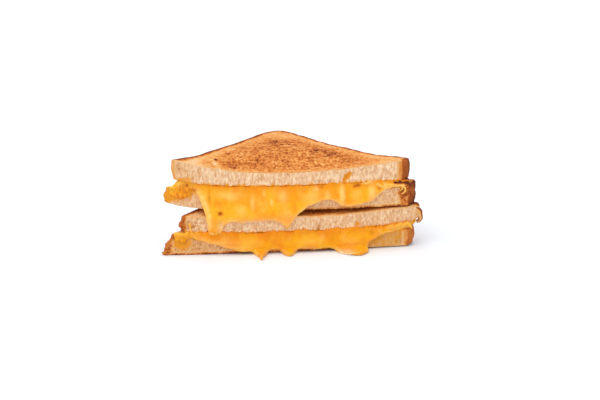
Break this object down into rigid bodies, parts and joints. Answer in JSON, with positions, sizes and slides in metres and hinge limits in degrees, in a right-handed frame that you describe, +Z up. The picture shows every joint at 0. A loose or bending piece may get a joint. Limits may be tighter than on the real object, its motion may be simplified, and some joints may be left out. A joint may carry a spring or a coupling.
{
  "type": "grilled cheese sandwich",
  "caption": "Toasted white-bread cheese sandwich cut corner to corner, halves stacked cut side forward, with melted orange cheese hanging out of the cut.",
  "frame": {"origin": "on the floor under the middle of the whole object's box", "axes": "+X along the cut to the right, +Y away from the cut towards the far corner of the slices, +Z up"},
  "size_m": [0.1706, 0.1024, 0.062],
  "materials": {
    "toasted_bread": "griddled golden brown faces, brown crust and cream open crumb, matt",
    "melted_cheese": "molten orange cheese with a soft sheen"
  },
  "bodies": {
    "root": {"lower_bottom_bread": "toasted_bread", "lower_cheese": "melted_cheese", "lower_top_bread": "toasted_bread", "upper_bottom_bread": "toasted_bread", "upper_cheese": "melted_cheese", "upper_top_bread": "toasted_bread"}
  },
  "joints": []
}
